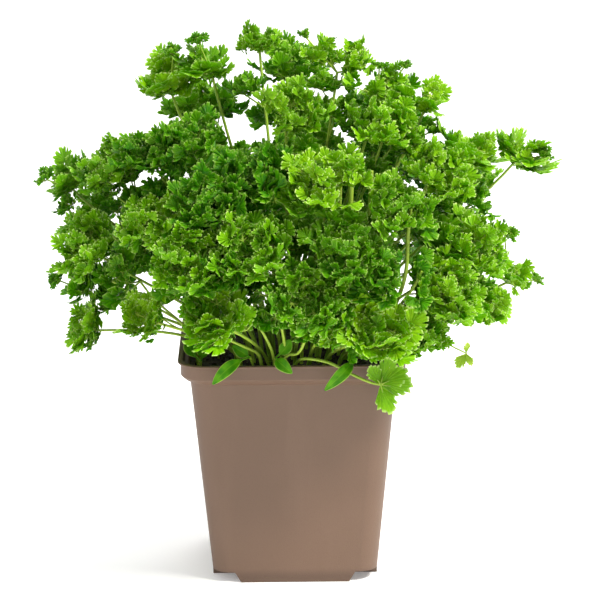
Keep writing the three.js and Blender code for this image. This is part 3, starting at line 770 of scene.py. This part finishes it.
def make_crumb():
    """A small lopsided lump."""
    bpy.ops.mesh.primitive_ico_sphere_add(subdivisions=1, radius=MM, location=(0, 0, 0))
    crumb = start("crumb")
    edit()
    pick(lambda at, corner: at.x > CRUMB["side"])
    bpy.ops.transform.translate(value=metres(CRUMB["drawn_out"]))
    pick(lambda at, corner: at.z < CRUMB["underside"])
    scale(*CRUMB["flatter"])
    end_edit()
    return crumb


def scatter(crumb):
    """Copies of the crumb all over the soil, each turned and sized at random."""
    draw = draws(SEEDS["crumbs"])
    reach = SOIL["half"] - CRUMBS["from_rim"]
    crumbs = []
    for _ in range(CRUMBS["count"]):
        spot = (draw(-reach, reach), draw(-reach, reach), SOIL["level"] + draw(*CRUMBS["level"]))
        angle = draw(0, TURN)
        turn = Matrix.Rotation(angle, 4, Vector((draw(-1, 1), draw(-1, 1), draw(-0.99, 1.01))))
        size = Matrix.Diagonal((*(draw(*limits) for limits in CRUMBS["sizes"]), 1))
        crumbs.append(copy_at(crumb, Matrix.Translation(metres(spot)) @ turn @ size))
    return crumbs


def make_soil():
    soil = make_soil_top()
    close_soil()
    crumb = make_crumb()
    soil = join([soil, *scatter(crumb)], "crumbly_soil")
    bpy.data.objects.remove(crumb)
    soil.data.materials.append(compost())
    return soil


# The bush: where its heads, stalks and pinnae are, by the same rule as the solids

def facing(centre):
    """The way that a head faces: away from the heart of the bush and turned up."""
    out = unit(centre - np.array([0, 0, HEART["z"]]))
    return unit(out + np.array([0, 0, HEART["lift"]]))


def plant_feet(heads):
    """Stalks of low heads come out of the soil near the rim, those of high heads near the middle."""
    for head in heads:
        x, y, z = head["centre"]
        flat = math.hypot(x, y)
        steep = math.atan2(z - SOIL["level"], flat) / (TURN / 4)
        away = CROWN["radius"] * (1 - steep) ** CROWN["spread"]
        head["root"] = np.array([x, y]) * away / max(flat, 1)
    for _ in range(CROWN["rounds"]):
        for i, head in enumerate(heads):
            for other in heads[i + 1:]:
                push_apart(head["root"], other["root"])
        for head in heads:
            np.clip(head["root"], -CROWN["radius"], CROWN["radius"], out=head["root"])


def push_apart(one, other):
    between = other - one
    length = np.linalg.norm(between)
    short = CROWN["apart"] - length
    if short > 0:
        between *= (short / 2 + CROWN["nudge"]) / length
        one -= between
        other += between


def stalk_route(head, sway):
    """The foot of a stalk, and the four points of the arc that it makes from the soil to its fork."""
    fork = head["fork"]
    begin = np.array([*head["root"], SOIL["level"] + HOLE["standing"]])
    travel = fork - begin
    across = unit(np.array([-travel[1], travel[0], 0]))
    rise = max(travel[2] * ARC["rise"], ARC["least_rise"])
    low = begin + np.array([travel[0] * ARC["lean"], travel[1] * ARC["lean"], rise]) + across * sway
    high = fork - head["normal"] * ARC["reach"] * np.linalg.norm(travel) + across * sway * ARC["high_sway"]
    high[2] = max(high[2], (low[2] + fork[2]) / 2)
    foot = np.array([*head["root"], SOIL["level"] - HOLE["depth"] + HOLE["gap"]])
    return foot, (begin, low, high, fork)


def arc(points, steps):
    """Points along a cubic curve."""
    share = np.linspace(0, 1, steps + 1)[:, None]
    rest = 1 - share
    a, b, c, d = points
    return a * rest**3 + 3 * b * share * rest**2 + 3 * c * share**2 * rest + d * share**3


def marks_along(bends, per_bend):
    marks = []
    for one, other in zip(bends, bends[1:]):
        marks += [one + (other - one) * k / per_bend for k in range(per_bend)]
    return np.array([*marks, bends[-1]])


def clears_rim(marks):
    away = np.abs(marks[:, :2]).max(axis=1)
    return bool(np.all((away < RIM["inside"]) | (away > RIM["outside"]) | (marks[:, 2] > RIM["clear_level"])))


def route_stalks(heads):
    """Each stalk sways to one side, more and more, until it is clear of the stalks before it."""
    taken = np.empty((0, 3))
    for head in heads:
        best = (-1, None, None)
        for turn in range(ROUTE["tries"]):
            if best[0] >= ROUTE["apart"]:
                break
            sway = ROUTE["sway_step"] * math.ceil(turn / 2) * (1 if turn % 2 else -1)
            foot, points = stalk_route(head, sway)
            marks = marks_along([foot, *arc(points, STALK["bends"])], ROUTE["marks"])
            room = ROUTE["plenty"] if clears_rim(marks) else 0
            if room and len(taken):
                room = min(room, np.linalg.norm(marks[:, None] - taken[None], axis=2).min())
            if room > best[0]:
                best = (room, (foot, points), marks)
        head["route"] = best[1]
        taken = np.vstack([taken, best[2]])


def place_heads():
    heads = []
    for x, y, z, radius in HEADS:
        centre = np.array([x, y, z], float)
        normal = facing(centre)
        fork = centre - normal * ROSETTE["fork"] * radius
        heads.append({"centre": centre, "radius": radius, "normal": normal, "fork": fork})
    plant_feet(heads)
    route_stalks(heads)
    return heads


def turned(vector, axis, angle):
    """A vector turned round an axis."""
    return np.array(Matrix.Rotation(angle, 3, Vector(axis)) @ Vector(vector))


def leant(forward, side, face, angle, lift):
    """A way in a plane, at an angle from forward towards the side. Then that way lifted off the plane, and
    the way that it faces there."""
    away, tilt = math.radians(angle), math.radians(lift)
    flat = forward * math.cos(away) + side * math.sin(away)
    return flat, flat * math.cos(tilt) + face * math.sin(tilt), face * math.cos(tilt) - flat * math.sin(tilt)


def pinnae_of(head, draw):
    """The pinnae of a head, each in its own sector round the head's axis, given by where it begins, its way,
    its face and its length."""
    normal, radius = head["normal"], head["radius"]
    across = unit(np.cross(normal, ROSETTE["north"]))
    other = np.cross(normal, across)
    first = draw() * TURN
    pinnae = []
    for tier in (OUTER, INNER):
        count = tier["count_if_small" if radius <= SMALL_HEAD else "count"]
        step = TURN / count
        for k in range(count):
            turn = first + (k + 0.5) * step + ROSETTE["stray"] * step * (draw() - 0.5)
            rise = tier["rise"] * draw(*ROSETTE["rises"])
            ahead, face = leant(across, other, normal, math.degrees(turn), rise)[1:]
            face = turned(face, ahead, math.radians(ROSETTE["roll"]))
            length = tier["length"] * radius * draw(*ROSETTE["lengths"])
            pinnae.append((head["fork"] + ahead * tier["neck"] * radius, ahead, face, length))
    return pinnae


# Frills and leaflets

def rim_plan(kind):
    """A frill's rim, from the side round its front. Each corner has its angle, its share of the frill's
    reach, its place among the teeth, which is a whole number in the middle of a tooth and half way between
    them in a cut, and how far up its tooth it is."""
    teeth = kind["teeth"]
    step = 2 * kind["opening"] / len(teeth)
    corners = []
    for k, cut in enumerate(kind["cuts"]):
        beside = min(teeth[max(k - 1, 0)], teeth[min(k, len(teeth) - 1)])
        corners.append((kind["opening"] - step * k, beside * (1 - cut), 0.5 - k, 1 - cut))
        if k < len(teeth):
            for tip in (0.5 - kind["blunt"], 0.5 + kind["blunt"]):
                corners.append((kind["opening"] - step * (k + tip), teeth[k], 0.5 - k - tip, 1))
    return corners


def is_pole(corner):
    """Whether a corner of a frill is its heart."""
    return math.hypot(corner.x, corner.y) < NEAR


def rim_corner(kind, plan, wave, draw):
    """Where a corner of the rim goes, from the frill's heart."""
    angle, share, _, height = plan
    turn = math.radians(angle)
    pleat = kind["pleat"] if height == 1 else -kind["pleat"]
    narrower = 1 - FRILL["narrowing"] * (angle / kind["opening"]) ** 2
    reach = (1 - FRILL["heart"]) * narrower * share * (1 + FRILL["uneven"] * draw(-1, 1))
    rise = pleat + kind["wave"] * math.sin(wave + FRILL["waves"] * turn)
    return Vector((reach * math.sin(turn), reach * math.cos(turn), rise))


def shape_rim(kind, plans, draw):
    """In edit mode, moves each corner of the rim to its place, and then the heart."""
    sides = len(plans) + 1
    wave = draw(0, TURN)
    for place in range(sides):
        angle = TURN * place / sides
        old = Vector((math.sin(angle), -math.cos(angle), 0))
        new = rim_corner(kind, plans[place - 1], wave, draw) if place else Vector((0, -FRILL["heart"], 0))
        pick(lambda at, corner: not is_pole(at) and (at.xy - old.xy).length < NEAR)
        put(old, new)
    bpy.ops.mesh.reveal(select=False)
    pick(lambda at, corner: is_pole(at))
    bpy.ops.transform.translate(value=metres((0, 0, -kind["cup"] * draw(*FRILL["cups"]))))


def lay_flat(mesh, plans):
    """Gives each face of a frill its place among the teeth, and how far out each of its corners is."""
    layer = mesh.uv_layers.new(name="leaf")
    for face in mesh.polygons:
        rim = []
        for loop in face.loop_indices:
            at = mesh.vertices[mesh.loops[loop].vertex_index].co / MM
            angle = math.degrees(math.atan2(at.x, at.y))
            nearest = min(plans, key=lambda plan: abs(plan[0] - angle))
            rim.append((loop, nearest[2], 0.0 if is_pole(at) else nearest[3]))
        teeth = [tooth for loop, tooth, reach in rim if reach]
        for loop, tooth, reach in rim:
            layer.data[loop].uv = (tooth if reach else sum(teeth) / len(teeth), reach)


def make_frill(name, kind, draw):
    """A frill a millimetre long, that begins at the origin and points along +Y."""
    plans = rim_plan(kind)
    bpy.ops.mesh.primitive_cone_add(
        vertices=len(plans) + 1, radius1=MM, radius2=0, depth=FRILL["thickness"] * MM,
        end_fill_type="TRIFAN", location=(0, 0, 0), rotation=(0, 0, math.pi),
    )
    frill = start(name)
    bpy.ops.object.transform_apply(rotation=True)
    edit()
    shape_rim(kind, plans, draw)
    end_edit()
    lay_flat(frill.data, plans)
    edit()
    bpy.ops.transform.translate(value=metres((0, FRILL["heart"], 0)))
    end_edit()
    bpy.ops.object.shade_smooth_by_angle(angle=math.radians(FRILL["smooth"]))
    return frill


def make_patterns(leaf):
    draw = draws(SEEDS["frills"])
    patterns = {}
    for name, kind in FRILLS.items():
        patterns[name] = [make_frill(f"{name}_{k}", kind, draw) for k in range(kind["forms"])]
        for pattern in patterns[name]:
            pattern.data.materials.append(leaf)
    return patterns


def frame_of(at, ahead, normal, size):
    """The place of a pattern: where it begins, which way it points and faces, and its size."""
    side = unit(np.cross(ahead, normal))
    face = np.cross(side, ahead)
    turn = Matrix((side, ahead, face)).transposed().to_4x4()
    return Matrix.Translation(metres(at)) @ turn @ Matrix.Diagonal((size, size, size, 1))


def spread(stem, plan, stray, draw):
    """What grows from a stem, which is given by where it begins, its way, its face and its length: leaflets
    from a pinna, or frills from a leaflet. Each is given in the same way."""
    begin_at, forward, face, long = stem
    side = np.cross(face, forward)
    grown = []
    for angle, begin, length, lift in plan:
        angle += STRAY["turn"] * draw(-1, 1)
        lift += STRAY["lift"] * stray * draw(-1, 1)
        flat, ahead, normal = leant(forward, side, face, angle, lift)
        normal = turned(normal, ahead, math.radians(stray * draw(-1, 1)))
        at = begin_at + (flat * begin - face * STRAY["droop"] * begin * begin) * long
        length *= long * (1 + STRAY["length"] * draw(-1, 1))
        grown.append((at, ahead, normal, length))
    return grown


# Stalks, the ribs of the pinnae and the stalklets under the leaflets

def add_tube(curve, points, radii):
    line = curve.splines.new("POLY")
    line.points.add(len(points) - 1)
    for point, at, radius in zip(line.points, points, radii):
        point.co = (*metres(at), 1)
        point.radius = radius


def tubes(name, lines, roundness=0):
    """Tapered tubes along lines, each a list of points and of radii, made one mesh."""
    curve = bpy.data.curves.new(name, "CURVE")
    curve.dimensions = "3D"
    curve.bevel_depth = MM
    curve.bevel_resolution = roundness
    curve.use_fill_caps = True
    for points, radii in lines:
        add_tube(curve, points, radii)
    made = bpy.data.objects.new(name, curve)
    bpy.context.collection.objects.link(made)
    select_only(made)
    bpy.ops.object.convert(target="MESH")
    bpy.ops.object.shade_smooth()
    return bpy.context.object


def stalk_tube(name, line, foot, tip):
    """A round stalk that tapers evenly from its foot to its tip."""
    return tubes(name, [(line, np.linspace(foot, tip, len(line)))], STALK["roundness"])


def tapered(points, thick, shares):
    return points, [thick * share for share in shares]


def rib_lines(fork, pinna, leaflets, thick):
    """A rib from the fork to a pinna, and a stalklet from there to each leaflet that begins further out."""
    begin, _, face, long = pinna
    lines = []
    if not is_in_gap(begin, long):
        lines.append(tapered([fork, (fork + begin) / 2 - face * RIBS["sag"], begin], thick, RIBS["rib"]))
    for at, ahead, _, length in leaflets:
        end = at + ahead * RIBS["reach"] * length
        if not is_in_gap(end, length):
            lines.append(tapered([begin, (begin + end) / 2, end], thick, RIBS["stalklet"]))
    return lines


def side_heads(head, route, draw):
    """Smaller heads on both sides of a stalk, and the lines of the branches that carry them."""
    heads, lines = [], []
    side = draw(-1, 1)
    for share in BRANCHES["shares"]:
        spot = int(share * STALK["steps"])
        at = route[spot]
        ahead = unit(route[spot + 1] - at)
        side = -math.copysign(1, side)
        if not BRANCHES["low"] < at[2] < BRANCHES["high"] or math.hypot(at[0], at[1]) > BRANCHES["wide"]:
            continue
        turn = math.radians(draw(-BRANCHES["turn"], BRANCHES["turn"]))
        out = turned(np.cross(ahead, [0, 0, 1]), ahead, turn)
        out = unit(out * side + ahead * BRANCHES["ahead"])
        radius = head["radius"] * BRANCHES["size"] * draw(*BRANCHES["sizes"])
        fork = at + out * BRANCHES["reach"] * head["radius"]
        normal = unit(out + head["normal"] * BRANCHES["outward"] + [0, 0, BRANCHES["upward"]])
        heads.append({"fork": fork, "normal": normal, "radius": radius})
        lines.append(tapered([at, (at + fork) / 2 - normal, fork], STALK["tip"], BRANCHES["thick"]))
    return heads, lines


def filling_heads(number, head, route):
    """The small heads that fill holes beside a frond, and the lines of the branches that carry them."""
    heads, lines = [], []
    for owner, centre, radius in FILLS:
        if owner == number:
            at = min(route, key=lambda spot: np.linalg.norm(spot - centre + [0, 0, radius]))
            fork = np.array(centre, float)
            heads.append({"fork": fork, "normal": head["normal"], "radius": radius})
            lines.append(tapered([at, fork], STALK["tip"], BRANCHES["thick"][::2]))
    return heads, lines


def settle(part, material, tone, young):
    """Gives a part of a frond its material and tones."""
    if material:
        part.data.materials.append(material)
    count = len(part.data.vertices)
    mark(part.data, "tone", [tone] * count)
    mark(part.data, "young", [young] * count)


def is_in_gap(at, length):
    """Whether a point is in one of the gaps, or too near it for a frill of this length."""
    x, y, z = at
    rise = z + GAP_SLOPE * y
    for left, right, low, high, behind, clear in GAPS:
        room = clear * length
        if y < behind and left - room < x < right + room and low - room < rise < high + room:
            return True
    return False


def frill_copies(leaflets, kind, patterns, tones, young, draw):
    """Copies of the frills, a cluster for each leaflet. Each leaflet has a tone of its own."""
    copies = []
    for leaflet in leaflets:
        tone = draw(*tones)
        for frill in spread(leaflet, CLUSTERS[kind], FRILLS[kind]["stray"], draw):
            pattern = patterns[kind][int(draw(0, len(patterns[kind]) - UNDER))]
            shade = tone + draw(-TONES["frill"], TONES["frill"])
            at, ahead, _, length = frill
            if kind == "leaf" or not is_in_gap(at + ahead * FRILL["middle"] * length, length):
                copies.append(copy_at(pattern, frame_of(*frill)))
                settle(copies[-1], None, shade, young)
    return copies


def dress_head(head, kind, seed, thick, patterns, tones, young, draw):
    """The ribs of a head's pinnae, and the frills of its leaflets."""
    lines, leaflets = [], []
    stray = draws(SEEDS["leaflets"] + seed)
    for pinna in pinnae_of(head, draws(seed)):
        grown = spread(pinna, PINNAE[kind], STRAY["leaflets"], stray)
        lines += rib_lines(head["fork"], pinna, grown, thick)
        leaflets += grown
    return lines, frill_copies(leaflets, kind, patterns, tones, young, draw)


def bare_stalks(number, material):
    """The thin bright stalks of a frond."""
    stalks = []
    for owner, foot, tip, tone, points in BARE_STALKS:
        if owner == number:
            stalks.append(stalk_tube("bare_stalk", through(points, LEG_STEPS["bare"]), foot, tip))
            settle(stalks[-1], material, tone, TONES["bare_young"])
    return stalks


def make_frond(number, head, patterns, paints):
    """A stalk with the rosette of leaflets at its end and the smaller ones on its sides."""
    kind = "broad" if number in BROAD else "curly"
    young = YOUNG.get(number, 0)
    draw = draws(SEEDS["tones"] + number)
    light = sum(share for share, numbers in LIGHT if number in numbers)
    bright = draw(*TONES["head"]) + light
    tones = (bright - TONES["leaflet"], bright + TONES["leaflet"])
    lines, copies = dress_head(head, kind, number, STALK["tip"], patterns, tones, young, draw)
    foot, points = head["route"]
    route = arc(points, STALK["steps"])
    branches, branch_lines = side_heads(head, route, draw)
    fillers, filler_lines = filling_heads(number, head, route)
    lines += branch_lines + filler_lines
    tones = [light / 3 + tone for tone in BRANCHES["tones"]]
    thick = STALK["tip"] * RIBS["on_branch"]
    for k, branch in enumerate(branches + fillers):
        seed = SEEDS["branch"] * (k + 1) + number
        greener = young * BRANCHES["young"]
        ribs, frills = dress_head(branch, "inner", seed, thick, patterns, tones, greener, draw)
        lines += ribs
        copies += frills
    stalks = [stalk_tube("stalk", [foot, *route], STALK["foot"], STALK["tip"]), tubes("ribs", lines)]
    for part in stalks:
        settle(part, paints["stalk"], bright, young)
    return join([*stalks, *bare_stalks(number, paints["stalk"]), *copies], f"parsley_frond_{number:02d}")


# Low shoots and seedlings

def through(points, steps):
    """Points along a smooth line through the given ones, with steps on each leg."""
    points = [np.array(point, float) for point in points]
    knots = [2 * points[0] - points[1], *points, 2 * points[-1] - points[-2]]
    line = []
    for a, b, c, d in zip(knots, knots[1:], knots[2:], knots[3:]):
        for t in np.linspace(0, 1, steps, endpoint=False):
            bend = (2 * a - 5 * b + 4 * c - d) * t**2 + (3 * b - a - 3 * c + d) * t**3
            line.append(0.5 * (2 * b + (c - a) * t + bend))
    return [*line, points[-1]]


def planted(points):
    """A stalk's points with its foot in its hole, and a straight start."""
    x, y, z = points[0]
    foot = (x, y, z + HOLE["gap"] - HOLE["depth"])
    return [foot, *through([(x, y, z + HOLE["standing"]), *points[1:]], LEG_STEPS["low"])]


def make_shoot(name, index, patterns, paints):
    """A stalk that lies over the rim, with a leaf of a few lobes at its end."""
    shoot = SHOOTS[name]
    line = planted(shoot["route"])
    thick = shoot["thick"]
    face = unit(np.array(shoot["normal"]))
    side = unit(np.cross([0, 0, 1], face))
    up = np.cross(face, side)
    lobes, ribs = [], []
    for angle, length, lift in shoot["lobes"]:
        ahead, normal = leant(up, side, face, angle, lift)[1:]
        lobes.append((line[-1], ahead, normal, length))
        ribs.append(tapered([line[-1], line[-1] + ahead * SHOOT["reach"] * length], thick, SHOOT["rib"]))
    draw = draws(SEEDS["shoots"] + index)
    copies = frill_copies(lobes, "leaf", patterns, shoot["tones"], shoot["young"], draw)
    stalks = [stalk_tube("stalk", line, thick, thick * SHOOT["taper"]), tubes("ribs", ribs)]
    for part in stalks:
        settle(part, paints["stalk"], TONES["low_stalk"], shoot["young"])
    return join([*stalks, *copies], name + "_dressed")


def seed_leaf_width(share):
    """Half the width of a seed leaf, some way along it."""
    blade = max(0, (share - SEED_LEAF["stem"]) / (1 - SEED_LEAF["stem"]))
    lance = math.sin(math.pi * blade ** SEED_LEAF["widest"]) ** SEED_LEAF["fullness"]
    return SEED_LEAF["half_width"] * (SEED_LEAF["stem_width"] + lance)


def make_seed_leaf(points):
    """A narrow leaf along three points, a strip of rows that is a little folded."""
    base, middle, tip = (np.array(p, float) for p in points)
    out = middle - base
    rows, columns = SEED_LEAF["rows"], SEED_LEAF["columns"]
    low, high = base + out * SEED_LEAF["leaves_fork"], middle + out * SEED_LEAF["past_middle"]
    line = arc((base, low, high, tip), rows)
    bpy.ops.mesh.primitive_grid_add(
        x_subdivisions=len(columns) - 1, y_subdivisions=rows, size=2 * MM, location=(0, 0, 0),
    )
    leaf = start("seed_leaf")
    mark(leaf.data, "edge", [abs(v.co.x) / MM for v in leaf.data.vertices])
    edit()
    for row in range(rows + 1):
        ahead = unit(line[min(row + 1, rows)] - line[max(row - 1, 0)])
        side = unit(np.cross(ahead, SEED_LEAF["faces"]))
        wide = seed_leaf_width(row / rows)
        for across in columns:
            old = Vector((across, 2 * row / rows - 1, 0))
            fold = np.cross(side, ahead) * SEED_LEAF["fold"] * abs(across)
            pick(lambda at, corner: (at.xy - old.xy).length < NEAR)
            put(old, Vector(line[row] + (side * across + fold) * wide))
    bpy.ops.mesh.reveal(select=False)
    end_edit()
    finish_modifier(leaf, "SOLIDIFY", thickness=SEED_LEAF["thickness"] * MM, offset=0)
    finish_modifier(leaf, "SUBSURF", levels=1, render_levels=1)
    bpy.ops.object.shade_smooth()
    return leaf


def make_seedling(index, paints):
    foot, fork, leaves = SEEDLINGS[index]
    stalk = stalk_tube("stalk", planted([(*foot, SOIL["level"]), fork]), SEEDLING["stalk"], SEEDLING["stalk"])
    settle(stalk, paints["stalk"], TONES["low_stalk"], SEEDLING["young"])
    leaves = [make_seed_leaf((fork, *leaf)) for leaf in leaves]
    for leaf in leaves:
        leaf.data.materials.append(paints["seed_leaf"])
    return join([stalk, *leaves], f"seedling_{index + 1}_dressed")


# The stage

def make_floor():
    bpy.ops.mesh.primitive_plane_add(size=STAGE["floor"], location=(0, 0, 0))
    floor = start("floor")
    floor.data.materials.append(pale_floor())


def place_camera():
    """The camera looks along +Y and down, and is a little rolled."""
    bpy.ops.object.camera_add(location=metres(CAMERA["at"]))
    camera = bpy.context.object
    look = Matrix.Rotation(TURN / 4 - math.radians(CAMERA["down"]), 4, "X")
    roll = Matrix.Rotation(math.radians(CAMERA["roll"]), 4, "Z")
    camera.matrix_world = Matrix.Translation(metres(CAMERA["at"])) @ look @ roll
    camera.data.lens = CAMERA["lens"]
    camera.data.sensor_width = CAMERA["sensor"]
    camera.data.clip_end = CAMERA["sight"]
    bpy.context.scene.camera = camera


def add_lamp(at, width, power, colour):
    """A round lamp that points at the middle of the bush."""
    bpy.ops.object.light_add(type="AREA", location=at)
    lamp = bpy.context.object
    lamp.data.shape = "DISK"
    lamp.data.size = width
    lamp.data.energy = power
    lamp.data.color = colour
    aim = Vector(STAGE["lit"]) - Vector(at)
    lamp.rotation_euler = aim.to_track_quat("-Z", "Y").to_euler()


def light_stage():
    world = bpy.data.worlds.new("studio")
    world.use_nodes = True
    sky = world.node_tree.nodes["Background"]
    sky.inputs[0].default_value = (1, 1, 1, 1)
    sky.inputs[1].default_value = STAGE["sky"]
    bpy.context.scene.world = world
    for lamp in LAMPS:
        add_lamp(**lamp)
    bpy.context.scene.view_settings.view_transform = "Standard"


def keep(piece, slot, *nodes):
    """Fixes a finished piece to the pot's body, in place of its solids."""
    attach(piece, ROOT)
    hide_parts(*nodes)


def main():
    place_camera()
    make_floor()
    light_stage()
    keep(make_pot(), "pot_plastic", "pot")
    keep(make_soil(), "compost", "soil")
    paints = {"leaf": leaf_green(), "stalk": stalk_green(), "seed_leaf": seed_leaf_green()}
    patterns = make_patterns(paints["leaf"])
    for index, head in enumerate(place_heads()):
        frond = make_frond(index + 1, head, patterns, paints)
        keep(frond, "parsley_green", f"frond_{index + 1:02d}")
    for index, name in enumerate(SHOOTS):
        keep(make_shoot(name, index, patterns, paints), "parsley_green", name)
    for index in range(len(SEEDLINGS)):
        keep(make_seedling(index, paints), "seed_leaf_green", f"seedling_{index + 1}")
    for pattern in [each for kind in patterns.values() for each in kind]:
        bpy.data.objects.remove(pattern)


main()
